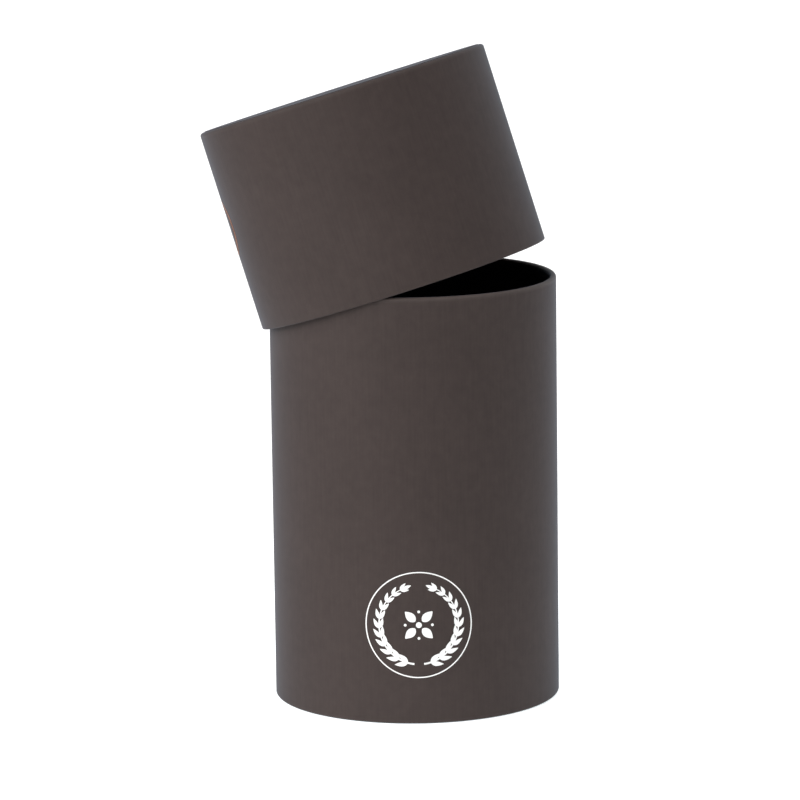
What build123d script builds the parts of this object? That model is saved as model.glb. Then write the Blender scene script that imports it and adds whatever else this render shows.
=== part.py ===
"""Round gift box in two halves: a tall board tube and the lid that telescopes over it.

Both halves are made the same way.  A wound board wall stands on a round end board.  The
wrapping paper runs up the wall, over its mouth and a little way down inside, and at the
closed end it is cut into tabs that are folded onto the board under a round cover paper.
Black lining papers close the inside.  The lid is set down askew, as it lies when the box
has just been opened: its low edge hangs outside the tube and its rim lies across the
tube's mouth.

Millimetres, +Z up along the tube.  The origin is the middle of the foot, on the table.
"""

import os
from dataclasses import dataclass
from math import cos, radians, sin

from build123d import *

# The tube, measured over its paper
tube_radius = 45.0
tube_height = 133.3
tube_wall_board = 1.65
tube_lap_angle = 90.0

# The lid, and the gap left round the tube when it is put on
lid_height = 64.35
lid_clearance = 0.63
lid_wall_board = 0.5
lid_edge_bevel = 0.8
lid_lap_angle = -110.0

# How the lid lies on the tube: its tilt, the way it leans, the gap where it crosses the
# tube's rim, and how far its low edge hangs off the tube's side
lean_angle = 17.9
lean_direction = 162.1
rest_gap = 0.25
side_gap = 1.3

# The boards and papers of both halves
end_board = 1.8
wrap_paper = 0.16
cover_paper = 0.16
lining_paper = 0.12

# The mouth: the tube's eased rim, the paper turned in over it, the lining inside that
mouth_bevel_share = 0.35
turn_in = 12.0
lining_drop = 1.2
lining_step = 1.0

# The tabs at the closed end, the gaps cut between them, and the cover paper's margin
tab_depth = 7.8
tab_count = 24
tab_gap = 2.2
tab_gap_share = 0.7
cover_margin = 0.5

# The strip where the wrapping paper laps over its own edge
lap_width = 9.0

overrun = 1.0


@dataclass
class Half:
    """One half of the box.  Its seat is the outside of the closed end, facing the mouth."""

    name: str
    end_name: str
    seat: Plane
    radius: float
    height: float
    wall_board: float
    lap_angle: float
    edge_bevel: float = 0
    mouth_bevel: float = 0
    lining_covers_turn_in: bool = False

    @property
    def axis(self):
        return Axis(self.seat.origin, self.seat.z_dir)

    @property
    def section(self):
        """A plane through the axis: x is the radius, y the height above the closed end."""
        return Plane(origin=self.seat.origin, x_dir=self.seat.x_dir, z_dir=-self.seat.y_dir)

    @property
    def board_radius(self):
        return self.radius - wrap_paper

    @property
    def bore_radius(self):
        return self.board_radius - self.wall_board

    @property
    def flat_radius(self):
        """Where the end board's flat stops and its edge, eased or not, begins."""
        return self.board_radius - self.edge_bevel

    @property
    def edge_points(self):
        """The end board's outer edge in the section, from its flat to the wall."""
        if not self.edge_bevel:
            return [(self.board_radius, board_level)]
        return [
            (self.flat_radius, board_level),
            (self.board_radius, board_level + self.edge_bevel),
        ]

    @property
    def board_top(self):
        return self.height - wrap_paper

    @property
    def mouth_points(self):
        """The wall board's mouth in the section, from its outside to its inside."""
        if not self.mouth_bevel:
            return [(self.board_radius, self.board_top), (self.bore_radius, self.board_top)]
        return [
            (self.board_radius, self.board_top - self.mouth_bevel),
            (self.board_radius - self.mouth_bevel, self.board_top),
            (self.bore_radius + self.mouth_bevel, self.board_top),
            (self.bore_radius, self.board_top - self.mouth_bevel),
        ]


# Heights above the outside of the closed end: the end board's two faces
board_level = cover_paper + wrap_paper
wall_level = board_level + end_board


def lid_seat():
    """Where the lid comes to rest, from its tilt and the sizes of the two mouths.

    Its inner edge is a circle.  It crosses the tube's rim at two points, one on each side
    of the lean, and its lowest point hangs beside the tube.
    """
    lean = radians(lean_angle)
    heading = radians(lean_direction)
    up = Vector(0, 0, 1)
    raised_side = Vector(-cos(heading), -sin(heading), 0)
    lid_axis = up * cos(lean) - raised_side * sin(lean)
    lid_mouth = tube_radius + lid_clearance
    held_radius = tube_radius + rest_gap
    shift = lid_mouth * cos(lean) - tube_radius - side_gap
    crossing_share = (shift**2 + lid_mouth**2 - held_radius**2) / (lid_mouth * sin(lean)) ** 2
    drop = lid_mouth * sin(lean) * crossing_share
    rim_centre = raised_side * shift + up * (tube_height + rest_gap - drop)
    return Plane(
        origin=rim_centre + lid_axis * lid_height,
        x_dir=raised_side * cos(lean) + up * sin(lean),
        z_dir=-lid_axis,
    )


def make_end_board(half):
    """The round board that closes the end, with the edge that the wrap is pulled over."""
    with BuildPart() as board:
        with BuildSketch(half.seat.offset(board_level)):
            Circle(half.board_radius)
        extrude(amount=end_board)
        if half.edge_bevel:
            chamfer(board.faces().sort_by(half.axis)[0].edges(), length=half.edge_bevel)
    return board


def make_core(half):
    """The wound board wall, standing on the end board, open at the mouth."""
    with BuildPart() as core:
        with BuildSketch(half.section):
            with BuildLine():
                Polyline(
                    (half.bore_radius, wall_level),
                    (half.board_radius, wall_level),
                    *half.mouth_points,
                    close=True,
                )
            make_face()
        revolve(axis=half.axis)
    return core


def make_wrap(half):
    """One sheet of paper from the tabs under the end, up the wall and in over the mouth."""
    tab_end = half.flat_radius - tab_depth
    with BuildPart() as wrap:
        # The sheet follows the boards and stands outside them by its own thickness
        with BuildSketch(half.section):
            with BuildLine():
                Polyline(
                    (tab_end, board_level),
                    *half.edge_points,
                    *half.mouth_points,
                    (half.bore_radius, half.height - turn_in),
                )
                offset(amount=wrap_paper, side=Side.RIGHT, kind=Kind.INTERSECTION)
            make_face()
        revolve(axis=half.axis)

        # The lap: a second layer on the straight part of the wall
        lap_foot = board_level + half.edge_bevel
        with BuildSketch(half.seat.offset(lap_foot)):
            Circle(half.radius + wrap_paper)
            Circle(half.radius - wrap_paper / 2, mode=Mode.SUBTRACT)
            with PolarLocations(half.radius, 1, start_angle=half.lap_angle):
                Rectangle(lap_width, lap_width, mode=Mode.INTERSECT)
        extrude(amount=half.board_top - half.mouth_bevel - lap_foot)

        # The gaps between the tabs
        with BuildSketch(half.seat.offset(cover_paper - overrun)):
            with PolarLocations(tab_end, tab_count):
                Polygon(
                    (-overrun, -tab_gap / 2),
                    (tab_depth * tab_gap_share, 0),
                    (-overrun, tab_gap / 2),
                    align=None,
                )
        extrude(amount=wrap_paper + 2 * overrun, mode=Mode.SUBTRACT)
    return wrap


def make_cover(half):
    """The round paper pasted over the tabs: the foot of the tube, the top of the lid."""
    with BuildPart() as cover:
        with BuildSketch(half.seat):
            Circle(half.flat_radius - cover_margin)
        extrude(amount=cover_paper)
    return cover


def make_end_lining(half):
    """The round black paper on the inside of the end board."""
    with BuildPart() as lining:
        with BuildSketch(half.seat.offset(wall_level)):
            Circle(half.bore_radius)
        extrude(amount=lining_paper)
    return lining


def make_wall_lining(half):
    """The black paper round the inside, up to the turned-in wrap or stepping up over it."""
    turned_edge = half.height - turn_in
    turned_radius = half.bore_radius - wrap_paper
    pasted = [
        (half.bore_radius, wall_level + lining_paper),
        (half.bore_radius, turned_edge - lining_step),
    ]
    if half.lining_covers_turn_in:
        pasted.append((turned_radius, turned_edge))
        pasted.append((turned_radius, half.height - lining_drop))
    with BuildPart() as lining:
        with BuildSketch(half.section):
            with BuildLine():
                Polyline(*pasted)
                offset(amount=lining_paper, side=Side.LEFT, kind=Kind.INTERSECTION)
            make_face()
        revolve(axis=half.axis)
    return lining


tube = Half(
    name="tube",
    end_name="base",
    seat=Plane.XY,
    radius=tube_radius,
    height=tube_height,
    wall_board=tube_wall_board,
    lap_angle=tube_lap_angle,
    mouth_bevel=tube_wall_board * mouth_bevel_share,
    lining_covers_turn_in=True,
)

lid = Half(
    name="lid",
    end_name="lid_top",
    seat=lid_seat(),
    radius=tube_radius + lid_clearance + 2 * wrap_paper + lid_wall_board,
    height=lid_height,
    wall_board=lid_wall_board,
    edge_bevel=lid_edge_bevel,
    lap_angle=lid_lap_angle,
)

pieces = {}
for half in (tube, lid):
    pieces[f"{half.name}_core"] = make_core(half)
    pieces[f"{half.name}_wrap"] = make_wrap(half)
    pieces[f"{half.name}_lining"] = make_wall_lining(half)
    pieces[f"{half.end_name}_board"] = make_end_board(half)
    pieces[f"{half.end_name}_cover"] = make_cover(half)
    pieces[f"{half.end_name}_lining"] = make_end_lining(half)

os.makedirs("parts", exist_ok=True)
for node, piece in pieces.items():
    piece.part.label = node
    export_step(piece.part, f"parts/{node}.step")
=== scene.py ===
"""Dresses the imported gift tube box: its papers, its print and foil, and the studio round it.

The boards stay as they were packed.  Each paper is made again here as a sheet of its real
thickness, rolled round its half of the box from the same sizes, with its roundings, its lap
and its folded tabs.  Lengths are in metres.
"""

from dataclasses import dataclass
from math import atan2, ceil, cos, pi, radians, sin, tan

import bmesh
import bpy
import numpy as np
from bpy.props import FloatProperty, FloatVectorProperty, IntProperty, PointerProperty
from mathutils import Matrix, Vector


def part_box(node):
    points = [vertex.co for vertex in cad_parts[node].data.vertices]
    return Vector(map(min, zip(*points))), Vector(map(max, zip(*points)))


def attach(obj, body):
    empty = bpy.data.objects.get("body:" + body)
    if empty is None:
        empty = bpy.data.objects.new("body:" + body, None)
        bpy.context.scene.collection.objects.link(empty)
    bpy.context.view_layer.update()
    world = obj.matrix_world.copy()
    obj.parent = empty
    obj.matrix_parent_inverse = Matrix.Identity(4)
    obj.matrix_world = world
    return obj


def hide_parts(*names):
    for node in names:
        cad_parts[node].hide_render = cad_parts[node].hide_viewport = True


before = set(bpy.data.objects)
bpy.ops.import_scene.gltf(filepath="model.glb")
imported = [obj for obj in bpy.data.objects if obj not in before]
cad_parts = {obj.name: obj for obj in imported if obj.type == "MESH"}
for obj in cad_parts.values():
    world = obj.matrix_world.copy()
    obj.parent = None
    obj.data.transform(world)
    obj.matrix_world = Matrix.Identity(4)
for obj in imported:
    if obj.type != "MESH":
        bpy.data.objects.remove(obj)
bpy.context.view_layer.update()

bl_info = {
    "name": "Gift tube box",
    "version": (1, 0, 0),
    "blender": (4, 5, 0),
    "location": "3D View > Sidebar > Gift Tube",
    "description": "Papers, print, foil and studio for a round gift box in two halves",
    "category": "Object",
}

MM = 0.001


def metres(name, description, default):
    """A size in metres that shows in the scene's own units."""
    return FloatProperty(
        name=name, description=description, default=default, unit="LENGTH", precision=5
    )


def rgb(name, description, default):
    """A linear colour without alpha."""
    return FloatVectorProperty(
        name=name, description=description, default=default, subtype="COLOR", min=0, max=1
    )


def fraction(name, description, default):
    """A share between nought and one."""
    return FloatProperty(
        name=name, description=description, default=default, min=0, max=1, subtype="FACTOR"
    )


def degrees(name, description, default):
    """An angle, stored in radians and shown in degrees."""
    return FloatProperty(
        name=name, description=description, default=radians(default), unit="ROTATION"
    )


def brightness(name, description, default):
    """The strength of a light."""
    return FloatProperty(name=name, description=description, default=default, min=0)


class PaperSizes(bpy.types.PropertyGroup):
    """The sheets that cover both halves, and how they are rounded, lapped and folded."""

    wrap: metres("Wrapping paper", "Thickness of the wrapping paper", 0.16 * MM)
    cover: metres("Cover paper", "Thickness of the round cover papers", 0.16 * MM)
    lining: metres("Lining paper", "Thickness of the lining papers", 0.12 * MM)
    mouth_round: metres("Mouth rounding", "Rounding of the board at the tube's mouth", 0.74 * MM)
    lid_mouth_round: metres("Lid mouth rounding", "Rounding of the lid's thin mouth", 0.24 * MM)
    foot_round: metres("Foot rounding", "Rounding of the board round the foot", 0.3 * MM)
    top_round: metres("Top rounding", "Rounding of the board round the lid's top", 0.95 * MM)
    turn_in: metres("Turn-in", "How far the wrap is turned down inside a mouth", 12 * MM)
    lining_drop: metres("Lining drop", "From the tube's mouth to the lining's edge", 1.2 * MM)
    lining_step: metres("Lining step", "Length of the lining's step over the wrap", 1.0 * MM)
    lap: metres("Lap", "Width of the strip where the wrap laps over itself", 9 * MM)
    lap_ramp: metres("Lap ramp", "How soon the upper layer climbs onto the lower", 1.6 * MM)
    tab_depth: metres("Tab depth", "Length of the tabs folded onto an end board", 7.8 * MM)
    tab_gap: metres("Tab gap", "Width of the gap between two tabs", 2.2 * MM)
    tab_gap_share: fraction("Tab gap depth", "How far a gap reaches into the tabs", 0.7)
    tab_count: IntProperty(
        name="Tabs", description="Number of tabs round each closed end", default=24, min=3
    )
    cover_margin: metres("Cover margin", "From the end's rounding to the cover paper", 0.5 * MM)
    cover_sink: metres("Cover sink", "How far a cover paper sinks inside the tabs", 0.11 * MM)
    tube_lap_angle: degrees("Tube lap", "Where the tube's wrap laps", 90)
    lid_lap_angle: degrees("Lid lap", "Where the lid's wrap laps", -110)
    # The tube's mouth share paints the light band along its rim: a painted highlight as well as
    # wear.
    mouth_wear: fraction("Mouth wear", "How much the tube's mouth is rubbed", 0.62)
    lid_mouth_wear: fraction("Lid mouth wear", "How much the lid's mouth is rubbed", 0.05)
    end_wear: fraction("End wear", "How much the foot and the lid's top edge are rubbed", 0.15)


class MarkSizes(bpy.types.PropertyGroup):
    """The white wreath printed on the tube and the foil ring stamped on the lid."""

    film: metres("Film", "Thickness of the ink and of the foil", 0.02 * MM)
    wreath_width: metres("Wreath width", "Across the printed wreath's outer ring", 33.5 * MM)
    wreath_height: metres("Wreath height", "Middle of the wreath above the table", 31.4 * MM)
    wreath_angle: degrees("Wreath angle", "Where the wreath is round the tube", -89.4)
    ring_width: metres("Ring width", "Across the foil ring", 18.0 * MM)
    ring_height: metres("Ring height", "Middle of the foil ring above the lid's mouth", 33.2 * MM)
    ring_angle: degrees("Ring angle", "Where the foil ring is round the lid", 157.8)


class Colours(bpy.types.PropertyGroup):
    """The finishes, as linear colours."""

    wrap: rgb("Wrap", "Taupe wrapping paper", (0.0497, 0.0372, 0.0344))
    wrap_deep: rgb("Wrap, deep", "Darker clouds in the wrapping paper", (0.0388, 0.0290, 0.0269))
    # Paler paper along the rubbed edges; along the tube's mouth this paler colour is also a painted
    # highlight.
    wrap_rubbed: rgb("Wrap, rubbed", "Paper rubbed along its edges", (0.098, 0.080, 0.074))
    wrap_bloom: rgb("Wrap, bloom", "Cool bloom of the velvety film", (0.48, 0.68, 1.0))
    lining: rgb("Lining", "Black lining paper", (0.026, 0.027, 0.038))
    lining_fibre: rgb("Lining fibre", "Lighter fibres in the lining", (0.048, 0.050, 0.064))
    board: rgb("Board", "Raw greyboard", (0.23, 0.20, 0.165))
    board_fleck: rgb("Board fleck", "Darker flecks in the greyboard", (0.11, 0.095, 0.08))
    ink: rgb("Ink", "White printing ink", (0.86, 0.86, 0.85))
    ink_thin: rgb("Ink, thin", "Where the ink is thin over the paper", (0.66, 0.65, 0.64))
    foil: rgb("Foil", "Copper foil", (0.38, 0.175, 0.095))
    foil_dull: rgb("Foil, dull", "Where the foil is dull", (0.27, 0.13, 0.07))
    foil_edge: rgb("Foil, edge", "How the foil tints light that glances off it", (0.68, 0.47, 0.39))
    floor: rgb("Floor", "Pale studio floor", (0.93, 0.93, 0.93))


class StudioSizes(bpy.types.PropertyGroup):
    """The camera that matches the photograph, the floor and the light."""

    camera_elevation: degrees("Elevation", "Angle of the camera above the horizon", 10.437)
    camera_roll: degrees("Roll", "Turn of the camera about its own line of sight", -0.756)
    camera_distance: metres("Distance", "From the camera to what it looks at", 1.4233)
    camera_lens: FloatProperty(
        name="Lens", description="Focal length in millimetres", default=203.42, unit="CAMERA"
    )
    aim_across: metres("Aim across", "What the camera looks at, across the picture", -4.404 * MM)
    aim_height: metres("Aim height", "What the camera looks at, above the table", 93.59 * MM)
    floor_radius: metres("Floor radius", "Radius of the round floor", 9.0)
    key_strength: brightness("Key", "Strength of the key light", 3.46)
    key_side: degrees("Key side", "How far the key stands to the left of the camera", 59)
    key_elevation: degrees("Key elevation", "Angle of the key light above the horizon", 35)
    fill_strength: brightness("Fill", "Strength of the high fill", 1.1)
    fill_side: degrees("Fill side", "How far the fill stands to the left of the camera", -60)
    fill_elevation: degrees("Fill elevation", "Angle of the fill above the horizon", 60)
    rim_strength: brightness("Rim", "Strength of the rim light", 0.9)
    rim_side: degrees("Rim side", "How far the rim light stands to the left of the camera", -120)
    rim_elevation: degrees("Rim elevation", "Angle of the rim light above the horizon", 36)
    lamp_spread: degrees("Lamp spread", "Softness of the three lamps", 60)
    lamp_colour: rgb("Lamp colour", "A little warm", (1.0, 0.976, 0.969))
    backdrop_strength: brightness("Backdrop", "Strength of the lit wall behind the box", 0.72)
    backdrop_colour: rgb("Backdrop colour", "A little cool", (0.882, 0.974, 1.0))
    room_strength: brightness("Room", "Strength of the light from the rest of the room", 0.08)
    floor_glow: brightness("Floor glow", "Light that comes up through the table", 0.60)
    glow_far: fraction("Glow far off", "What is left of the glow away from the box", 0.30)
    glow_near_radius: metres("Glow near", "Round the box, up to where the glow is full", 0.05)
    glow_far_radius: metres("Glow far", "From where the glow is down to what is left", 0.35)


def sizes():
    return bpy.context.scene.gift_tube_papers


def marks():
    return bpy.context.scene.gift_tube_marks


def colours():
    return bpy.context.scene.gift_tube_colours


def studio():
    return bpy.context.scene.gift_tube_studio


# The two halves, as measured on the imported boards


@dataclass
class Half:
    """One half of the box: where its closed end is and how large its boards are."""

    name: str
    end_name: str
    origin: Vector
    up: Vector
    across: Vector
    board_radius: float
    bore_radius: float
    board_top: float
    wall_level: float
    edge_round: float
    mouth_round: float
    mouth_wear: float
    lap_angle: float
    lining_covers_turn_in: bool

    @property
    def side(self):
        return self.up.cross(self.across)

    @property
    def radius(self):
        return self.board_radius + sizes().wrap

    @property
    def height(self):
        return self.board_top + sizes().wrap

    @property
    def board_level(self):
        return sizes().cover + sizes().wrap

    @property
    def flat_radius(self):
        return self.board_radius - self.edge_round

    @property
    def tab_end(self):
        return self.flat_radius - sizes().tab_depth

    def from_gap(self, angle, radius):
        """How far points round the end are from the middle of the nearest gap in the tabs."""
        spacing = 2 * pi / sizes().tab_count
        return np.abs((angle / spacing) % 1 - 0.5) * spacing * radius

    def place(self, angle, radius, height):
        """Points of the half, from arrays of angles, radii and heights above its end."""
        angle, radius, height = np.broadcast_arrays(angle, radius, height)
        return (
            np.array(self.origin)
            + np.multiply.outer(radius * np.cos(angle), np.array(self.across))
            + np.multiply.outer(radius * np.sin(angle), np.array(self.side))
            + np.multiply.outer(height, np.array(self.up))
        )


def packed_points(node):
    return np.array([v.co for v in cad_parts[node].data.vertices])


def reach(node, origin, up):
    """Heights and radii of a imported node's points about an axis."""
    points = packed_points(node) - np.array(origin)
    heights = points @ np.array(up)
    return heights, np.linalg.norm(points - np.outer(heights, np.array(up)), axis=1)


def middle(node):
    low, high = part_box(node)
    return (low + high) / 2


def round_end(node, up):
    """The middle of a round paper's outside face, and a direction that lies in it.

    The middle is that of the circle that fits the paper's edge best, seen along up.
    """
    across = Vector((0, 0, 1)) - up * up.z
    if across.length < MM:
        across = Vector((1, 0, 0))
    across.normalize()
    side = up.cross(across)
    points = packed_points(node)
    flat = points @ np.array([across, side]).T
    equations = np.column_stack([2 * flat, np.ones(len(flat))])
    centre = np.linalg.lstsq(equations, (flat**2).sum(axis=1), rcond=None)[0]
    level = (points @ np.array(up)).min()
    return up * level + across * centre[0] + side * centre[1], across


def measure_half(name, end_name, **finish):
    """Reads one half's axis, end and radii from its packed boards and cover paper."""
    cover = f"{end_name}_cover"
    up = Vector(max(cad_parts[cover].data.polygons, key=lambda p: p.area).normal)
    if up.dot(middle(f"{name}_core") - middle(cover)) < 0:
        up = -up
    origin, across = round_end(cover, up)
    heights, radii = reach(f"{name}_core", origin, up)
    return Half(
        name=name,
        end_name=end_name,
        origin=origin,
        up=up,
        across=across,
        board_radius=radii.max(),
        bore_radius=radii.min(),
        board_top=heights.max(),
        wall_level=heights.min(),
        **finish,
    )


def both_halves():
    """The tube and the lid, by their bodies' names."""
    paper = sizes()
    tube = measure_half(
        "tube",
        "base",
        edge_round=paper.foot_round,
        mouth_round=paper.mouth_round,
        mouth_wear=paper.mouth_wear,
        lap_angle=paper.tube_lap_angle,
        lining_covers_turn_in=True,
    )
    lid = measure_half(
        "lid",
        "lid_top",
        edge_round=paper.top_round,
        mouth_round=paper.lid_mouth_round,
        mouth_wear=paper.lid_mouth_wear,
        lap_angle=paper.lid_lap_angle,
        lining_covers_turn_in=False,
    )
    return {"tube": tube, "lid": lid}


# Shapes

SMOOTH_UP_TO = radians(35)
COLUMNS = 400
ARC_STEPS = 9
ROW_LENGTH = 5 * MM

# How far an edge is rubbed, where an extra row stands, and how soon a rounding's rub and painted
# highlight fade
WEAR_REACH = 0.7 * MM
WEAR_AND_HIGHLIGHT_FADE = 0.245 * MM

# How far up from the end the two layers of a lap still lie flush
FLUSH_REACH = 1 * MM

# The rings of a round sheet, which stand closer towards its edge
RING_COUNT = 39
RING_PACKING = 0.8

# How softly a cover paper sinks at the tabs' ends and at the gaps, and its share at the gaps
SINK_AT_TAB_ENDS = 1.2 * MM
SINK_AT_GAPS = 0.5 * MM
GAP_SINK_SHARE = 0.7


def ease(share):
    """Nought to one with soft ends."""
    share = np.clip(share, 0, 1)
    return share * share * (3 - 2 * share)


def solid_object(name, points, faces, place, rub_and_highlight=None):
    """A closed mesh object with its paper coordinates and, for a paper, its rubbed edges, which
    also carry a painted highlight.
    """
    mesh = bpy.data.meshes.new(name)
    mesh.from_pydata([tuple(p) for p in points], [], [tuple(f) for f in faces])
    work = bmesh.new()
    work.from_mesh(mesh)
    bmesh.ops.recalc_face_normals(work, faces=work.faces)
    work.to_mesh(mesh)
    work.free()
    layer = mesh.attributes.new("place", "FLOAT_VECTOR", "POINT")
    layer.data.foreach_set("vector", np.asarray(place, np.float32).ravel())
    if rub_and_highlight is not None:
        # Each point's share of the paler rubbed colour, which also paints the mouth's highlight.
        layer = mesh.attributes.new("rub_and_highlight", "FLOAT", "POINT")
        layer.data.foreach_set("value", np.asarray(rub_and_highlight, np.float32).ravel())
    mesh.shade_smooth()
    mesh.set_sharp_from_angle(angle=SMOOTH_UP_TO)
    obj = bpy.data.objects.new(name, mesh)
    bpy.context.scene.collection.objects.link(obj)
    return obj


def sheet_faces(columns, rows, closed=False, first=0, edges=None):
    """Faces of a thin sheet laid out as a grid of points: its two sides and its free edges.

    The points are numbered from first, by column, then row, then side.  A closed sheet's last
    column joins its first.  edges names the free rows, both outer ones where it isn't given.
    """
    edges = edges or (0, rows - 1)

    def at(column, row, side):
        return first + ((column % columns) * rows + row) * 2 + side

    def across_edge(a, b):
        return at(*a, 0), at(*b, 0), at(*b, 1), at(*a, 1)

    faces = []
    for c in range(columns if closed else columns - 1):
        for r in range(rows - 1):
            for side in (0, 1):
                corners = ((c, r), (c + 1, r), (c + 1, r + 1), (c, r + 1))
                faces.append(tuple(at(*corner, side) for corner in corners))
        for r in edges:
            faces.append(across_edge((c, r), (c + 1, r)))
    if not closed:
        for c in (0, columns - 1):
            for r in range(rows - 1):
                faces.append(across_edge((c, r), (c, r + 1)))
    return faces


def straight_rows(length, after_arc, before_arc):
    """Where rows stand along a straight: evenly, and close beside a rounding."""
    count = max(1, ceil(length / ROW_LENGTH))
    rows = [length * row / count for row in range(count + 1)]
    if length > 3 * WEAR_REACH:
        if after_arc:
            rows.append(WEAR_REACH)
        if before_arc:
            rows.append(length - WEAR_REACH)
    return sorted(rows)


def rounded_run(corners, rounds, side, wear=None):
    """A path through corners, rounded at each inner one.

    Gives the points, the direction in which the sheet is thick, and how much each point is
    rubbed and painted with a highlight: the share of its corner in the arcs, nought on the
    straights.
    """
    corners = [np.array(c, float) for c in corners]
    wear = wear or (0.0,) * len(rounds)
    points, normals, rubbed_and_highlit = [], [], []

    def add(point, heading, rub_and_highlight):
        points.append(point)
        normals.append(side * np.array([heading[1], -heading[0]]))
        rubbed_and_highlit.append(rub_and_highlight)

    start = corners[0]
    for i in range(1, len(corners)):
        heading = corners[i] - corners[i - 1]
        heading /= np.linalg.norm(heading)
        end = corners[i]
        last = i == len(corners) - 1
        if not last:
            after = corners[i + 1] - corners[i]
            after /= np.linalg.norm(after)
            turn = atan2(heading[0] * after[1] - heading[1] * after[0], heading @ after)
            back = rounds[i - 1] * tan(abs(turn) / 2)
            end = corners[i] - heading * back
        rows = straight_rows(np.linalg.norm(end - start), i > 1, not last)
        for row in rows if i == 1 else rows[1:]:
            add(start + heading * row, heading, 0.0)
        if not last:
            centre = end + rounds[i - 1] * np.sign(turn) * np.array([-heading[1], heading[0]])
            for step in range(1, ARC_STEPS + 1):
                angle = turn * step / ARC_STEPS
                spin = np.array([[cos(angle), -sin(angle)], [sin(angle), cos(angle)]])
                add(centre + spin @ (end - centre), spin @ heading, wear[i - 1])
            start = points[-1]
    return np.array(points), np.array(normals), np.array(rubbed_and_highlit)


def rolled_sheet(name, half, run, thickness, lap, flat_share=None, tabs=False):
    """A sheet of paper rolled once round a half, its last strip lapped over its first.

    flat_share says where the two layers lie flush, so that the lower one is pressed in.
    """
    paper = sizes()
    points, normals, rubbed_and_highlit = run
    rows = len(points)
    around = 2 * pi * half.radius
    columns = COLUMNS + ceil(COLUMNS * lap / around) + 1
    along = np.linspace(0, around + lap, columns)[:, None]
    angle = half.lap_angle + (along - lap / 2) / half.radius
    over = ease((along - around + paper.lap_ramp) / paper.lap_ramp)
    under = 1 - ease((along - lap) / paper.lap_ramp)
    flat = np.zeros(rows) if flat_share is None else flat_share
    lift = thickness * (over * (1 - flat) - under * flat)
    radius = np.repeat(points[None, :, 0], columns, axis=0)
    if tabs:
        into_gap = 1 - half.from_gap(angle, half.tab_end) / (paper.tab_gap / 2)
        notch = paper.tab_gap_share * paper.tab_depth * np.clip(into_gap, 0, 1)
        in_tab = np.clip((half.flat_radius - points[:, 0]) / paper.tab_depth, 0, 1) * flat
        radius = radius + notch * in_tab

    def layer(off):
        return half.place(angle, radius + off * normals[:, 0], points[:, 1] + off * normals[:, 1])

    grid = np.stack([layer(lift), layer(lift + thickness)], axis=2).reshape(-1, 3)
    steps = np.linalg.norm(np.diff(points, axis=0), axis=1)
    travelled = np.concatenate([[0], np.cumsum(steps)])
    apart = np.abs(travelled[:, None] - travelled[None, :])
    spread_rub_and_highlight = (rubbed_and_highlit[None, :] * np.exp(-apart / WEAR_AND_HIGHLIGHT_FADE)).max(axis=1)
    place = np.zeros((columns, rows, 2, 3))
    place[..., 0] = along[..., None]
    place[..., 1] = travelled[None, :, None]
    rub_and_highlight = np.broadcast_to(spread_rub_and_highlight[None, :, None], (columns, rows, 2))
    return solid_object(name, grid, sheet_faces(columns, rows), place.reshape(-1, 3), rub_and_highlight)


def round_sheet(name, half, radius, level, thickness, relief=None):
    """A round paper lying on a half's end board; relief raises it by place."""
    rings = radius * np.linspace(0, 1, RING_COUNT + 1)[1:] ** RING_PACKING
    rows = len(rings)
    angle = np.linspace(0, 2 * pi, COLUMNS, endpoint=False)[:, None]
    height = level + (relief(angle, rings[None, :]) if relief else np.zeros((COLUMNS, rows)))
    low = half.place(angle, rings[None, :], height)
    high = half.place(angle, rings[None, :], height + thickness)
    middle_height = float(height[:, 0].mean())
    ends = [half.place(0.0, 0.0, middle_height), half.place(0.0, 0.0, middle_height + thickness)]
    points = np.concatenate([np.stack([low, high], axis=2).reshape(-1, 3), np.array(ends)])
    faces = sheet_faces(COLUMNS, rows, closed=True, edges=(rows - 1,))
    centre = COLUMNS * rows * 2
    for c in range(COLUMNS):
        after = (c + 1) % COLUMNS
        for side in (0, 1):
            faces.append((centre + side, c * rows * 2 + side, after * rows * 2 + side))
    flat_x = rings[None, :] * np.cos(angle)
    flat_y = rings[None, :] * np.sin(angle)
    place = np.stack([flat_x, flat_y, np.zeros_like(flat_x)], axis=-1)
    place = np.repeat(place[:, :, None, :], 2, axis=2).reshape(-1, 3)
    place = np.concatenate([place, np.zeros((2, 3))])
    rub_and_highlight = sizes().end_wear * np.exp(-(radius - rings) / WEAR_REACH)
    rub_and_highlight = np.repeat(np.broadcast_to(rub_and_highlight, (COLUMNS, rows))[:, :, None], 2, axis=2).ravel()
    return solid_object(name, points, faces, place, np.concatenate([rub_and_highlight, [0, 0]]))


# The papers


def make_wrap(half):
    """The wrapping paper, from its tabs up the wall and in over the mouth."""
    paper = sizes()
    corners = [
        (half.tab_end, half.board_level),
        (half.board_radius, half.board_level),
        (half.board_radius, half.board_top),
        (half.bore_radius, half.board_top),
        (half.bore_radius, half.height - paper.turn_in),
    ]
    rounds = (half.edge_round, half.mouth_round, half.mouth_round)
    # The mouth's share paints the rim's highlight as well as its wear.
    wear = (paper.end_wear, half.mouth_wear, half.mouth_wear)
    run = rounded_run(corners, rounds, 1, wear)
    heights = run[0][:, 1]
    flush = 1 - ease((heights - half.board_level) / (half.edge_round + FLUSH_REACH))
    name = f"{half.name}_wrap_paper"
    return rolled_sheet(name, half, run, paper.wrap, paper.lap, flat_share=flush, tabs=True)


def make_wall_lining(half):
    """The black paper round the inside of a wall."""
    paper = sizes()
    turned_edge = half.height - paper.turn_in
    foot = half.wall_level + paper.lining
    corners = [(half.bore_radius, foot), (half.bore_radius, turned_edge - paper.lining_step)]
    rounds = ()
    if half.lining_covers_turn_in:
        turned_radius = half.bore_radius - paper.wrap
        corners.append((turned_radius, turned_edge))
        corners.append((turned_radius, half.height - paper.lining_drop))
        rounds = (paper.lining_step, paper.lining_step)
    run = rounded_run(corners, rounds, -1)
    return rolled_sheet(f"{half.name}_lining_paper", half, run, paper.lining, paper.lap / 2)


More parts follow.
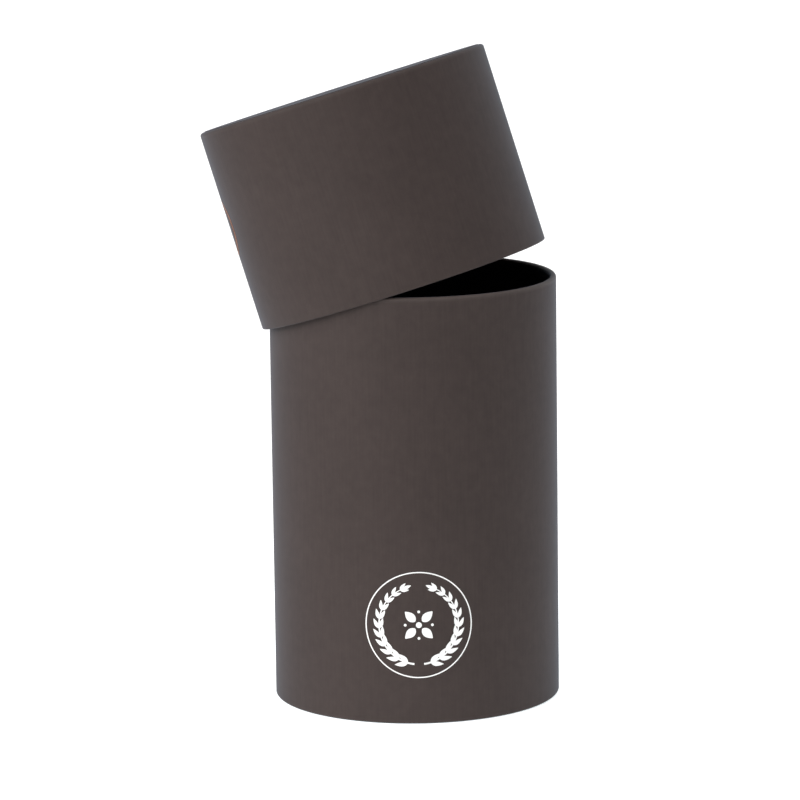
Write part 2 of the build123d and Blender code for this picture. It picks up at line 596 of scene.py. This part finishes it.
def make_cover(half):
    """The round paper over the tabs, sunk a little where there are no tabs under it."""
    paper = sizes()

    def sink(angle, ring):
        inside = ease((half.tab_end - ring) / SINK_AT_TAB_ENDS + 0.5)
        depth_share = np.clip((half.flat_radius - ring) / paper.tab_depth, 0, 1)
        past_gap_tip = np.clip(depth_share + paper.tab_gap_share - 1, 0, 1)
        half_gap = paper.tab_gap / 2 * past_gap_tip
        in_gap = ease((half_gap - half.from_gap(angle, ring)) / SINK_AT_GAPS + 0.5)
        in_gap = in_gap * (half_gap > 0)
        return paper.cover_sink * np.maximum(inside, GAP_SINK_SHARE * in_gap)

    radius = half.flat_radius - paper.cover_margin
    return round_sheet(f"{half.end_name}_cover_paper", half, radius, 0.0, paper.cover, sink)


def make_end_lining(half):
    """The round black paper inside the end board."""
    name = f"{half.end_name}_lining_paper"
    return round_sheet(name, half, half.bore_radius, half.wall_level, sizes().lining)


# Flat ornaments, drawn as small grids of points and then laid round a half

# A disc's rings, as shares of its radius; the innermost leaves a pinhole
DISC_RINGS = (0.04, 0.5, 1.0)

# A leaf: where its ends are cut, how far its belly is moved, how full it is
LEAF_ENDS = (0.02, 0.98)
LEAF_BELLY = 0.8
LEAF_FULLNESS = 0.9

# The wreath, as shares of its radius: its ring, the two branches and their leaves
OUTER_LINE = 0.022
BRANCH_RADIUS = 0.74
BRANCH_LINE = 0.035
BRANCH_TIP_LINE = 0.45 * BRANCH_LINE
BRANCH_START = radians(7)
BRANCH_SWEEP = radians(150)
LEAF_PAIRS = 11
FIRST_LEAF_AT = 0.7
LEAF_SIZE = 0.245
LEAF_SHRINK = 0.008
LEAF_WIDTH_SHARE = 0.36
LEAF_LEAN = 0.62
LEAF_BEND = 0.18
TIP_LEAF_SIZE = 0.17
TIP_LEAF_WIDTH = 0.065

# The flower in the wreath's middle: its petals, the dots between them and its heart
PETALS = 4
PETAL_FOOT = 0.09
PETAL_SIZE = 0.27
PETAL_WIDTH = 0.16
DOT_PLACE = 0.25
DOT_RADIUS = 0.026
HEART_RADIUS = 0.055

# The foil ring's two lines, as shares of its radius
BROAD_LINE = 0.085
HAIRLINE_RADIUS = 0.84
HAIRLINE = 0.03


def circled(radius, angle):
    """Points at radii and angles about nought."""
    return np.stack([radius * np.cos(angle), radius * np.sin(angle)], axis=-1)


def ring_patch(radius, width, count=160):
    """A flat ring.  A patch is a grid of points, and whether it closes on itself."""
    angle = np.linspace(0, 2 * pi, count, endpoint=False)[:, None]
    return circled(np.array([radius - width, radius])[None, :], angle), True


def disc_patch(centre, radius, count=20):
    """A small flat disc."""
    angle = np.linspace(0, 2 * pi, count, endpoint=False)[:, None]
    return circled(radius * np.array(DISC_RINGS)[None, :], angle) + np.array(centre), True


def leaf_patch(foot, heading, size, width, bend=0.0, count=12):
    """A pointed leaf from its foot, heading in radians, bending by its end."""
    share = np.linspace(*LEAF_ENDS, count)[:, None]
    half_width = width / 2 * np.sin(pi * share**LEAF_BELLY) ** LEAF_FULLNESS
    across = np.array([-1.0, 0.0, 1.0])[None, :]
    along = size * share + np.zeros_like(across)
    sideways = half_width * across + bend * size * share**2
    c, s = cos(heading), sin(heading)
    grid = np.stack([c * along - s * sideways, s * along + c * sideways], axis=-1)
    return grid + np.array(foot), False


def arc_patch(radius, width, tip_width, start, end, count=60):
    """A stem: a strip along an arc, tapering to its tip."""
    angle = np.linspace(start, end, count)[:, None]
    taper = np.linspace(width, tip_width, count)[:, None]
    return circled(radius + taper * np.array([-0.5, 0.5])[None, :], angle), False


def laid_patches(name, half, patches, angle, height, film):
    """Thin closed films on a half's wall, from flat patches about a middle point.

    A film stands off the paper by half its thickness.
    """
    points, faces, place = [], [], []
    for grid, closed in patches:
        columns, rows = grid.shape[:2]
        first = sum(len(p) for p in points)
        faces.extend(sheet_faces(columns, rows, closed, first))
        around = angle + grid[..., 0] / half.radius
        levels = height + grid[..., 1]
        low = half.place(around, half.radius + film / 2, levels)
        high = half.place(around, half.radius + film / 2 + film, levels)
        points.append(np.stack([low, high], axis=2).reshape(-1, 3))
        flat = np.concatenate([grid, np.zeros((columns, rows, 1))], axis=-1)
        place.append(np.repeat(flat[:, :, None, :], 2, axis=2).reshape(-1, 3))
    return solid_object(name, np.concatenate(points), faces, np.concatenate(place))


def branch_patches(unit, mirror):
    """One leafy branch of the wreath, on the right for 1 and on the left for -1."""
    radius = BRANCH_RADIUS * unit
    start = -pi / 2 + BRANCH_START * mirror
    sweep = BRANCH_SWEEP * mirror
    tip = start + sweep
    onward = pi / 2 * mirror
    patches = [arc_patch(radius, BRANCH_LINE * unit, BRANCH_TIP_LINE * unit, start, tip)]
    for i in range(LEAF_PAIRS):
        angle = start + sweep * (i + FIRST_LEAF_AT) / LEAF_PAIRS
        foot = circled(radius, angle)
        size = unit * (LEAF_SIZE - LEAF_SHRINK * i)
        width = LEAF_WIDTH_SHARE * size
        for outward in (mirror, -mirror):
            heading = angle + onward + LEAF_LEAN * outward
            patches.append(leaf_patch(foot, heading, size, width, -LEAF_BEND * outward))
    foot = circled(radius, tip)
    size, width = TIP_LEAF_SIZE * unit, TIP_LEAF_WIDTH * unit
    return patches + [leaf_patch(foot, tip + onward, size, width)]


def flower_patches(unit):
    """A flower with its petals on the diagonals, a dot between each two and a heart."""
    patches = []
    for i in range(PETALS):
        between = 2 * pi * i / PETALS
        heading = between + pi / PETALS
        foot = circled(PETAL_FOOT * unit, heading)
        patches.append(leaf_patch(foot, heading, PETAL_SIZE * unit, PETAL_WIDTH * unit))
        patches.append(disc_patch(circled(DOT_PLACE * unit, between), DOT_RADIUS * unit))
    return patches + [disc_patch((0, 0), HEART_RADIUS * unit)]


def wreath_patches(width):
    """Two leafy branches in a thin ring, with a four-petalled flower in the middle."""
    unit = width / 2
    branches = branch_patches(unit, 1) + branch_patches(unit, -1)
    return [ring_patch(unit, OUTER_LINE * unit)] + branches + flower_patches(unit)


def foil_patches(width):
    """A plain ring with a hairline ring inside it."""
    unit = width / 2
    hairline = ring_patch(HAIRLINE_RADIUS * unit, HAIRLINE * unit)
    return [ring_patch(unit, BROAD_LINE * unit), hairline]


# Node helpers and shared effects

# How fine the textures are: their grains to the metre, round the sheet, up it and through it
CLOUDS = (45, 45, 45)
MOTTLE = (340, 280, 340)
STREAKS = (1300, 55, 1300)
LONG_FIBRES = (5200, 900, 5200)
CROSS_FIBRES = (1100, 4600, 1100)
TOOTH = (4200, 4200, 4200)
COARSE_RUB_AND_HIGHLIGHT = (130, 130, 130)
FINE_RUB_AND_HIGHLIGHT = (1900, 1900, 1900)
BOARD_FLECKS = (2600, 2600, 2600)
BOARD_CLOUDS = (240, 240, 240)
FLOOR_CLOUDS = (3, 3, 3)

# How much the broad clouds and the finer mottle add to the paper's clouds
CLOUD_SHARE = 0.35
MOTTLE_SHARE = 0.65

# What is left of a rub and its painted highlight where the noise breaks it most
LEAST_RUB_AND_HIGHLIGHT = 0.55

# Between these a noise has nearly all its values
NOISE_LOW = 0.3
NOISE_HIGH = 0.7

# A colour Mix node has its sockets once for each kind of data; these are the colour ones
MIX_FIRST = 6
MIX_SECOND = 7
MIX_RESULT = 2


def new_node(tree, kind, **values):
    """A node with its settings, and its inputs by name."""
    node = tree.nodes.new(kind)
    for key, value in values.items():
        if key in node.inputs:
            node.inputs[key].default_value = value
        else:
            setattr(node, key, value)
    return node


def noise_of(tree, place, grains, detail=3.0, rough=0.55):
    """A noise with so many grains to the metre each way."""
    scaled = new_node(tree, "ShaderNodeVectorMath", operation="MULTIPLY")
    scaled.inputs[1].default_value = grains
    tree.links.new(place, scaled.inputs[0])
    noise = new_node(tree, "ShaderNodeTexNoise", Detail=detail, Roughness=rough, Scale=1.0)
    tree.links.new(scaled.outputs[0], noise.inputs["Vector"])
    return noise.outputs["Fac"]


def mapped(tree, value, low, high, to_low=0.0, to_high=1.0, kind="LINEAR"):
    """A value laid from one range onto another, and held within it."""
    node = new_node(tree, "ShaderNodeMapRange", interpolation_type=kind)
    node.inputs["From Min"].default_value = low
    node.inputs["From Max"].default_value = high
    node.inputs["To Min"].default_value = to_low
    node.inputs["To Max"].default_value = to_high
    tree.links.new(value, node.inputs["Value"])
    return node.outputs["Result"]


def spread(tree, noise, low, high):
    """A noise's usual values laid over a range."""
    return mapped(tree, noise, NOISE_LOW, NOISE_HIGH, low, high)


def calculated(tree, operation, first, second):
    """Two values put together, each a socket or a number."""
    node = new_node(tree, "ShaderNodeMath", operation=operation)
    for socket, value in zip(node.inputs, (first, second)):
        if isinstance(value, bpy.types.NodeSocket):
            tree.links.new(value, socket)
        else:
            socket.default_value = value
    return node.outputs[0]


def mixed(tree, share, first, second):
    """A colour between two, each a socket or a constant."""
    node = new_node(tree, "ShaderNodeMix", data_type="RGBA")
    tree.links.new(share, node.inputs["Factor"])
    for index, value in ((MIX_FIRST, first), (MIX_SECOND, second)):
        if isinstance(value, bpy.types.NodeSocket):
            tree.links.new(value, node.inputs[index])
        else:
            node.inputs[index].default_value = (*value, 1)
    return node.outputs[MIX_RESULT]


def new_group(name, inputs, outputs):
    """An empty node group with its sockets, its input node and its output node."""
    tree = bpy.data.node_groups.new(name, "ShaderNodeTree")
    for label, kind in inputs.items():
        tree.interface.new_socket(label, in_out="INPUT", socket_type=kind)
    for label in outputs:
        tree.interface.new_socket(label, in_out="OUTPUT", socket_type="NodeSocketFloat")
    return tree, tree.nodes.new("NodeGroupInput"), tree.nodes.new("NodeGroupOutput")


def paper_grain():
    """Clouds, fibres and tooth of a sheet of paper, with streaks along it in the clouds."""
    inputs = {"Place": "NodeSocketVector", "Streaks": "NodeSocketFloat"}
    outputs = ("Clouds", "Fibres", "Tooth")
    tree, source, sink = new_group("paper_grain", inputs, outputs)
    place = source.outputs["Place"]
    broad = spread(tree, noise_of(tree, place, CLOUDS), 0.0, CLOUD_SHARE)
    mottle = noise_of(tree, place, MOTTLE, detail=4.0, rough=0.6)
    mottle = spread(tree, mottle, 0.0, MOTTLE_SHARE)
    streaks = noise_of(tree, place, STREAKS, detail=2.0, rough=0.5)
    centred = calculated(tree, "SUBTRACT", streaks, 0.5)
    pulled = calculated(tree, "MULTIPLY", centred, source.outputs["Streaks"])
    clouds = calculated(tree, "ADD", calculated(tree, "ADD", broad, mottle), pulled)
    tree.links.new(clouds, sink.inputs["Clouds"])
    long_fibres = noise_of(tree, place, LONG_FIBRES, rough=0.6)
    cross_fibres = noise_of(tree, place, CROSS_FIBRES, rough=0.6)
    fibres = calculated(tree, "MAXIMUM", long_fibres, cross_fibres)
    tree.links.new(mapped(tree, fibres, 0.48, 0.78), sink.inputs["Fibres"])
    tooth = noise_of(tree, place, TOOTH, detail=5.0, rough=0.65)
    tree.links.new(tooth, sink.inputs["Tooth"])
    return tree


def edge_rub_and_highlight():
    """Where an edge is rubbed and painted with a highlight: its mask broken up by a coarse and a
    fine noise.
    """
    inputs = {"Place": "NodeSocketVector", "Edge": "NodeSocketFloat"}
    tree, source, sink = new_group("edge_rub_and_highlight", inputs, ("Rubbed_and_highlit",))
    place = source.outputs["Place"]
    coarse = mapped(tree, noise_of(tree, place, COARSE_RUB_AND_HIGHLIGHT), 0.42, 0.72)
    fine = mapped(tree, noise_of(tree, place, FINE_RUB_AND_HIGHLIGHT), 0.35, 0.7)
    broken = calculated(tree, "MULTIPLY", coarse, fine)
    kept = mapped(tree, broken, 0.0, 1.0, LEAST_RUB_AND_HIGHLIGHT, 1.0)
    rubbed_and_highlit = calculated(tree, "MULTIPLY", kept, source.outputs["Edge"])
    tree.links.new(rubbed_and_highlit, sink.inputs["Rubbed_and_highlit"])
    return tree


def add_group(tree, maker, **sockets):
    """Places the node group that a function makes, made once, with its inputs by name."""
    node = tree.nodes.new("ShaderNodeGroup")
    node.node_tree = bpy.data.node_groups.get(maker.__name__) or maker()
    for label, value in sockets.items():
        if isinstance(value, bpy.types.NodeSocket):
            tree.links.new(value, node.inputs[label])
        else:
            node.inputs[label].default_value = value
    return node


def add_bump(tree, shader, height, strength, depth):
    node = new_node(tree, "ShaderNodeBump", Strength=strength, Distance=depth)
    tree.links.new(height, node.inputs["Height"])
    tree.links.new(node.outputs["Normal"], shader.inputs["Normal"])


def start_material(name):
    """A material with its shader, and its paper coordinates read from the mesh."""
    material = bpy.data.materials.new(name)
    material.use_nodes = True
    tree = material.node_tree
    shader = tree.nodes["Principled BSDF"]
    place = new_node(tree, "ShaderNodeAttribute", attribute_name="place").outputs["Vector"]
    return material, tree, shader, place


# Finishes

# What a rub and its painted highlight do to the soft paper, and how far its fibres stand up beside
# its tooth
RUB_AND_HIGHLIGHT_PALES = 0.9
RUB_POLISHES = 0.12
FIBRE_HEIGHT = 0.35

# How much of the lighter fibres shows in the lining, and of the thin places in the ink
FIBRES_SHOWN = 0.5
THIN_INK_SHOWN = 0.6

# The floor's darker clouds, as a share of its colour
FLOOR_CLOUD = 0.985


def soft_touch_paper():
    """Matt taupe paper with a velvety film: faint clouds, fine tooth and rubbed edges, which also
    carry a painted highlight.
    """
    tint = colours()
    material, tree, shader, place = start_material("soft_touch_paper")
    edge = new_node(tree, "ShaderNodeAttribute", attribute_name="rub_and_highlight").outputs["Fac"]
    grain = add_group(tree, paper_grain, Place=place, Streaks=0.9)
    rubbed_and_highlit = add_group(tree, edge_rub_and_highlight, Place=place, Edge=edge).outputs["Rubbed_and_highlit"]
    body = mixed(tree, grain.outputs["Clouds"], tint.wrap_deep, tint.wrap)
    paled = calculated(tree, "MULTIPLY", rubbed_and_highlit, RUB_AND_HIGHLIGHT_PALES)
    # Rubbed edges painted paler: real wear, and along the tube's mouth a painted highlight as well.
    tree.links.new(mixed(tree, paled, body, tint.wrap_rubbed), shader.inputs["Base Color"])
    dull = spread(tree, grain.outputs["Tooth"], 0.60, 0.68)
    polish = calculated(tree, "MULTIPLY", rubbed_and_highlit, RUB_POLISHES)
    tree.links.new(calculated(tree, "SUBTRACT", dull, polish), shader.inputs["Roughness"])
    shader.inputs["Sheen Weight"].default_value = 0.11
    shader.inputs["Sheen Roughness"].default_value = 0.35
    shader.inputs["Sheen Tint"].default_value = (*tint.wrap_bloom, 1)
    shader.inputs["Specular IOR Level"].default_value = 0.15
    raised_fibres = calculated(tree, "MULTIPLY", grain.outputs["Fibres"], FIBRE_HEIGHT)
    height = calculated(tree, "ADD", grain.outputs["Tooth"], raised_fibres)
    add_bump(tree, shader, height, strength=0.22, depth=0.03 * MM)
    return material


def black_lining_paper():
    """Dull black paper with a few lighter fibres."""
    tint = colours()
    material, tree, shader, place = start_material("black_lining_paper")
    grain = add_group(tree, paper_grain, Place=place, Streaks=0.3)
    shown = calculated(tree, "MULTIPLY", grain.outputs["Fibres"], FIBRES_SHOWN)
    body = mixed(tree, shown, tint.lining, tint.lining_fibre)
    tree.links.new(body, shader.inputs["Base Color"])
    dull = spread(tree, grain.outputs["Tooth"], 0.72, 0.86)
    tree.links.new(dull, shader.inputs["Roughness"])
    shader.inputs["Specular IOR Level"].default_value = 0.25
    add_bump(tree, shader, grain.outputs["Tooth"], strength=0.3, depth=0.04 * MM)
    return material


def greyboard():
    """Raw greyboard with flecks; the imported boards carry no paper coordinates."""
    tint = colours()
    material, tree, shader, _ = start_material("greyboard")
    place = tree.nodes.new("ShaderNodeTexCoord").outputs["Object"]
    flecks = mapped(tree, noise_of(tree, place, BOARD_FLECKS, detail=4.0, rough=0.7), 0.52, 0.66)
    body = mixed(tree, flecks, tint.board, tint.board_fleck)
    tree.links.new(body, shader.inputs["Base Color"])
    dull = spread(tree, noise_of(tree, place, BOARD_CLOUDS), 0.82, 0.95)
    tree.links.new(dull, shader.inputs["Roughness"])
    add_bump(tree, shader, flecks, strength=0.4, depth=0.06 * MM)
    return material


def white_ink():
    """Screen-printed white that the paper's tooth shows through a little."""
    tint = colours()
    material, tree, shader, place = start_material("white_ink")
    tooth = add_group(tree, paper_grain, Place=place, Streaks=0.2).outputs["Tooth"]
    thin = mapped(tree, tooth, 0.5, 0.75, 0.0, THIN_INK_SHOWN)
    tree.links.new(mixed(tree, thin, tint.ink, tint.ink_thin), shader.inputs["Base Color"])
    tree.links.new(spread(tree, tooth, 0.5, 0.62), shader.inputs["Roughness"])
    add_bump(tree, shader, tooth, strength=0.15, depth=0.02 * MM)
    return material


def copper_foil():
    """Stamped copper foil, pressed into the paper's tooth."""
    tint = colours()
    material, tree, shader, place = start_material("copper_foil")
    grain = add_group(tree, paper_grain, Place=place, Streaks=0.2)
    tooth = grain.outputs["Tooth"]
    dull = mapped(tree, grain.outputs["Clouds"], 0.2, 0.9)
    tree.links.new(mixed(tree, dull, tint.foil, tint.foil_dull), shader.inputs["Base Color"])
    shader.inputs["Metallic"].default_value = 1.0
    shader.inputs["Specular Tint"].default_value = (*tint.foil_edge, 1)
    tree.links.new(spread(tree, tooth, 0.26, 0.42), shader.inputs["Roughness"])
    add_bump(tree, shader, tooth, strength=0.35, depth=0.02 * MM)
    return material


def table_glow(tree, place):
    """The colour of the light that comes up through the table, fading away from the box."""
    settings = studio()
    away = new_node(tree, "ShaderNodeVectorMath", operation="LENGTH")
    tree.links.new(place, away.inputs[0])
    near, far = settings.glow_near_radius, settings.glow_far_radius
    fade = mapped(tree, away.outputs["Value"], near, far, kind="SMOOTHSTEP")
    full = settings.backdrop_colour
    return mixed(tree, fade, full, [c * settings.glow_far for c in full])


def pale_floor():
    """Matt white studio paper, a little darker here and there, lit from below."""
    material, tree, shader, _ = start_material("pale_floor")
    place = tree.nodes.new("ShaderNodeTexCoord").outputs["Object"]
    clouds = noise_of(tree, place, FLOOR_CLOUDS, detail=2.0)
    tint = colours().floor
    darker = [c * FLOOR_CLOUD for c in tint]
    tree.links.new(mixed(tree, clouds, tint, darker), shader.inputs["Base Color"])
    shader.inputs["Roughness"].default_value = 0.9
    shader.inputs["Specular IOR Level"].default_value = 0.1
    tree.links.new(table_glow(tree, place), shader.inputs["Emission Color"])
    shader.inputs["Emission Strength"].default_value = studio().floor_glow
    return material


def material_of(maker):
    """The finish that a function makes, made once."""
    return bpy.data.materials.get(maker.__name__) or maker()


def finish_piece(obj, maker, body, slot, *nodes):
    """Gives a new piece its material and its body, and hides the nodes it stands for; slot is not
    used.
    """
    obj.data.materials.append(material_of(maker))
    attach(obj, body)
    if nodes:
        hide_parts(*nodes)


# Operators


class GIFTTUBE_OT_boards(bpy.types.Operator):
    """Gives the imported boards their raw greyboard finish"""

    bl_idname = "gift_tube.boards"
    bl_label = "Boards"

    def execute(self, context):
        for node in ("tube_core", "base_board", "lid_core", "lid_top_board"):
            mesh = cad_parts[node].data
            mesh.materials.clear()
            mesh.materials.append(material_of(greyboard))
        return {"FINISHED"}


class GIFTTUBE_OT_wraps(bpy.types.Operator):
    """Rolls the wrapping paper round the tube and the lid"""

    bl_idname = "gift_tube.wraps"
    bl_label = "Wrapping papers"

    def execute(self, context):
        for body, half in both_halves().items():
            finish_piece(make_wrap(half), soft_touch_paper, body, "wrap", f"{body}_wrap")
        return {"FINISHED"}


class GIFTTUBE_OT_covers(bpy.types.Operator):
    """Lays the round cover papers on the foot and on the lid's top"""

    bl_idname = "gift_tube.covers"
    bl_label = "Cover papers"

    def execute(self, context):
        for body, half in both_halves().items():
            node = f"{half.end_name}_cover"
            finish_piece(make_cover(half), soft_touch_paper, body, "wrap", node)
        return {"FINISHED"}


class GIFTTUBE_OT_linings(bpy.types.Operator):
    """Lines the walls and the ends of both halves with black paper"""

    bl_idname = "gift_tube.linings"
    bl_label = "Lining papers"

    def execute(self, context):
        for body, half in both_halves().items():
            wall, end = make_wall_lining(half), make_end_lining(half)
            finish_piece(wall, black_lining_paper, body, "lining", f"{body}_lining")
            finish_piece(end, black_lining_paper, body, "lining", f"{half.end_name}_lining")
        return {"FINISHED"}


class GIFTTUBE_OT_wreath(bpy.types.Operator):
    """Prints the white wreath on the front of the tube"""

    bl_idname = "gift_tube.wreath"
    bl_label = "Printed wreath"

    def execute(self, context):
        mark = marks()
        tube = both_halves()["tube"]
        wreath = laid_patches(
            "printed_wreath",
            tube,
            wreath_patches(mark.wreath_width),
            mark.wreath_angle,
            mark.wreath_height,
            mark.film,
        )
        finish_piece(wreath, white_ink, "tube", "ink")
        return {"FINISHED"}


class GIFTTUBE_OT_foil_ring(bpy.types.Operator):
    """Stamps the copper ring on the side of the lid"""

    bl_idname = "gift_tube.foil_ring"
    bl_label = "Foil ring"

    def execute(self, context):
        mark = marks()
        lid = both_halves()["lid"]
        ring = laid_patches(
            "foil_ring",
            lid,
            foil_patches(mark.ring_width),
            mark.ring_angle,
            lid.height - mark.ring_height,
            mark.film,
        )
        finish_piece(ring, copper_foil, "lid", "foil")
        return {"FINISHED"}


class GIFTTUBE_OT_studio(bpy.types.Operator):
    """Sets up the pale floor, the soft light and the camera"""

    bl_idname = "gift_tube.studio"
    bl_label = "Studio"

    def execute(self, context):
        make_floor()
        make_light()
        make_camera()
        return {"FINISHED"}


# The studio

FLOOR_CORNERS = 96

# Where the lit wall fades in and out, by a direction's share away from the camera and up
WALL_SIDE_FROM = 0.3
WALL_SIDE_FULL = 0.8
WALL_TOP_FULL = 0.4
WALL_TOP_TO = 0.7


def make_floor():
    """A wide round floor, far past what the camera sees."""
    mesh = bpy.data.meshes.new("floor")
    work = bmesh.new()
    radius = studio().floor_radius
    bmesh.ops.create_circle(work, cap_ends=True, segments=FLOOR_CORNERS, radius=radius)
    work.to_mesh(mesh)
    work.free()
    floor = bpy.data.objects.new("floor", mesh)
    mesh.materials.append(material_of(pale_floor))
    bpy.context.scene.collection.objects.link(floor)


def make_light():
    """A soft key from the left, a high fill, a rim light, a lit wall behind and a dim room."""
    settings = studio()
    make_lamp("key", settings.key_strength, settings.key_side, settings.key_elevation)
    make_lamp("fill", settings.fill_strength, settings.fill_side, settings.fill_elevation)
    make_lamp("rim", settings.rim_strength, settings.rim_side, settings.rim_elevation)
    world = bpy.data.worlds.new("studio")
    world.use_nodes = True
    tree = world.node_tree
    heading = tree.nodes.new("ShaderNodeTexCoord").outputs["Generated"]
    axes = tree.nodes.new("ShaderNodeSeparateXYZ")
    tree.links.new(heading, axes.inputs[0])
    away, up = axes.outputs["Y"], axes.outputs["Z"]
    behind = mapped(tree, away, WALL_SIDE_FROM, WALL_SIDE_FULL, kind="SMOOTHSTEP")
    low = mapped(tree, up, WALL_TOP_FULL, WALL_TOP_TO, 1.0, 0.0, kind="SMOOTHSTEP")
    wall = calculated(tree, "MULTIPLY", behind, low)
    lit_wall = calculated(tree, "MULTIPLY", wall, settings.backdrop_strength)
    strength = calculated(tree, "ADD", lit_wall, settings.room_strength)
    sky = tree.nodes["Background"]
    sky.inputs["Color"].default_value = (*settings.backdrop_colour, 1)
    tree.links.new(strength, sky.inputs["Strength"])
    bpy.context.scene.world = world
    bpy.context.scene.view_settings.view_transform = "Standard"


def make_lamp(name, strength, side, rise):
    """A lamp far away, to the left of the camera by side and above the horizon by rise."""
    light = bpy.data.lights.new(name, "SUN")
    light.energy = strength
    light.angle = studio().lamp_spread
    light.color = studio().lamp_colour
    lamp = bpy.data.objects.new(name, light)
    towards = Vector((-sin(side) * cos(rise), -cos(side) * cos(rise), sin(rise)))
    lamp.rotation_mode = "QUATERNION"
    lamp.rotation_quaternion = towards.to_track_quat("Z", "Y")
    bpy.context.scene.collection.objects.link(lamp)


def make_camera():
    """The camera at the photograph's place."""
    settings = studio()
    rise, roll = settings.camera_elevation, settings.camera_roll
    back = Vector((0, -cos(rise), sin(rise)))
    level = Vector((1, 0, 0))
    upright = back.cross(level)
    right = level * cos(roll) + upright * sin(roll)
    top = upright * cos(roll) - level * sin(roll)
    aim = Vector((settings.aim_across, 0, settings.aim_height))
    data = bpy.data.cameras.new("camera")
    data.lens = settings.camera_lens
    camera = bpy.data.objects.new("camera", data)
    rotation = Matrix((right, top, back)).transposed().to_4x4()
    camera.matrix_world = Matrix.Translation(aim + back * settings.camera_distance) @ rotation
    bpy.context.scene.collection.objects.link(camera)
    bpy.context.scene.camera = camera


class GIFTTUBE_PT_panel(bpy.types.Panel):
    """Lists the sizes, the colours and the steps of the gift tube box"""

    bl_idname = "GIFTTUBE_PT_panel"
    bl_label = "Gift Tube"
    bl_space_type = "VIEW_3D"
    bl_region_type = "UI"
    bl_category = "Gift Tube"

    def draw(self, context):
        for step in STEPS:
            self.layout.operator(step.bl_idname)
        for name in SETTINGS:
            group = getattr(context.scene, name)
            box = self.layout.box()
            box.label(text=group.bl_rna.name)
            for key in group.__annotations__:
                box.prop(group, key)


STEPS = (
    GIFTTUBE_OT_boards,
    GIFTTUBE_OT_wraps,
    GIFTTUBE_OT_covers,
    GIFTTUBE_OT_linings,
    GIFTTUBE_OT_wreath,
    GIFTTUBE_OT_foil_ring,
    GIFTTUBE_OT_studio,
)

SETTINGS = {
    "gift_tube_papers": PaperSizes,
    "gift_tube_marks": MarkSizes,
    "gift_tube_colours": Colours,
    "gift_tube_studio": StudioSizes,
}


def register():
    for name, group in SETTINGS.items():
        bpy.utils.register_class(group)
        setattr(bpy.types.Scene, name, PointerProperty(type=group))
    for step in STEPS:
        bpy.utils.register_class(step)
    bpy.utils.register_class(GIFTTUBE_PT_panel)


def unregister():
    bpy.utils.unregister_class(GIFTTUBE_PT_panel)
    for step in reversed(STEPS):
        bpy.utils.unregister_class(step)
    for name, group in SETTINGS.items():
        delattr(bpy.types.Scene, name)
        bpy.utils.unregister_class(group)


def main():
    register()
    bpy.ops.gift_tube.boards()
    bpy.ops.gift_tube.wraps()
    bpy.ops.gift_tube.covers()
    bpy.ops.gift_tube.linings()
    bpy.ops.gift_tube.wreath()
    bpy.ops.gift_tube.foil_ring()
    bpy.ops.gift_tube.studio()


if __name__ == "__main__":
    main()
